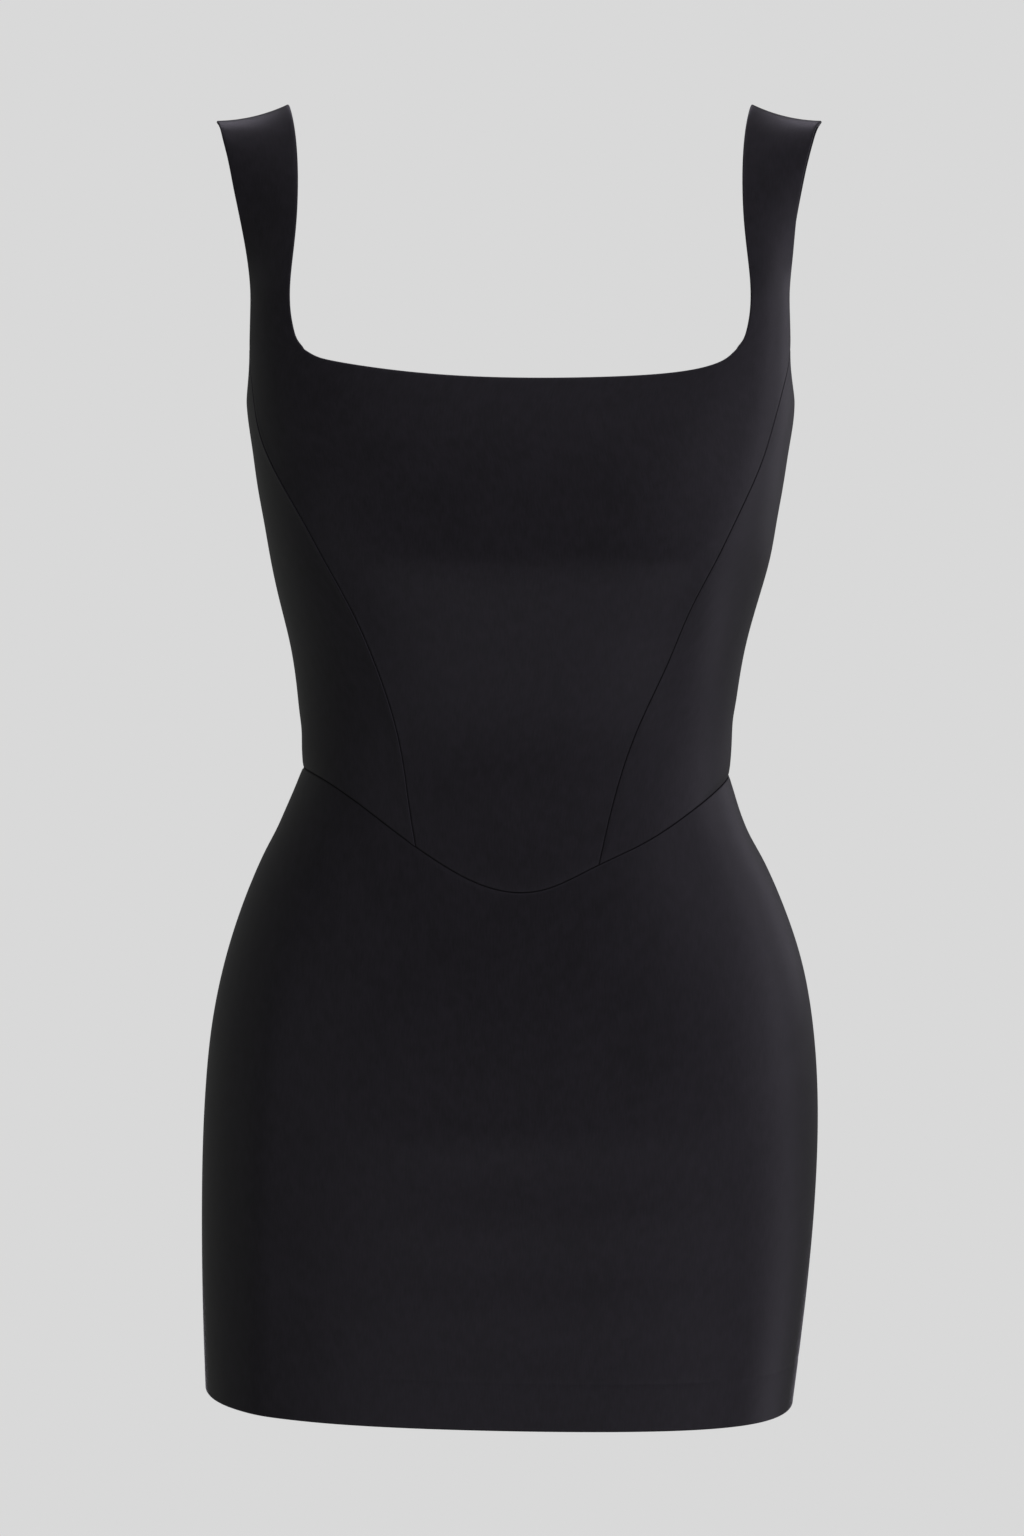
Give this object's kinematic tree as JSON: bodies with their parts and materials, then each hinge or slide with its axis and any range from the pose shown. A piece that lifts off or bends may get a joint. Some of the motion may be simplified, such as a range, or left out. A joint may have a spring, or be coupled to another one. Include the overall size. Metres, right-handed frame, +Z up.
{
  "type": "bodycon dress",
  "caption": "Short fitted black dress with a square neck, wide straps, a corset bodice with princess seams, a V-shaped waist seam and a concealed back zip, filled out and hollow.",
  "frame": {"origin": "midway between the straps at the top of the shoulders, where the wearer holds the dress up", "axes": "+Z up, +X to the wearer's left, +Y to the back; the front faces -Y"},
  "size_m": [0.35, 0.2365, 0.7333],
  "materials": {
    "crepe": "black stretch crepe with a soft satin sheen",
    "zip_tape": "black woven zip tape with a closed coil",
    "lacquer": "black lacquered zip metal"
  },
  "bodies": {
    "dress": {"front_centre_panel": "crepe", "front_side_panel_left": "crepe", "front_side_panel_right": "crepe", "back_side_panel_left": "crepe", "back_side_panel_right": "crepe", "back_panel_left": "crepe", "back_panel_right": "crepe", "skirt_front": "crepe", "skirt_back_left": "crepe", "skirt_back_right": "crepe", "zip_tape": "zip_tape", "zip_slider": "lacquer"},
    "zip_pull": {"zip_pull": "lacquer"}
  },
  "joints": [
    {"name": "pull_swing", "type": "hinge", "parent": "dress", "child": "zip_pull", "pos_m": [0.00044, 0.09949, -0.17991], "axis": [1, 0, 0], "range_deg": [0, 160]}
  ]
}
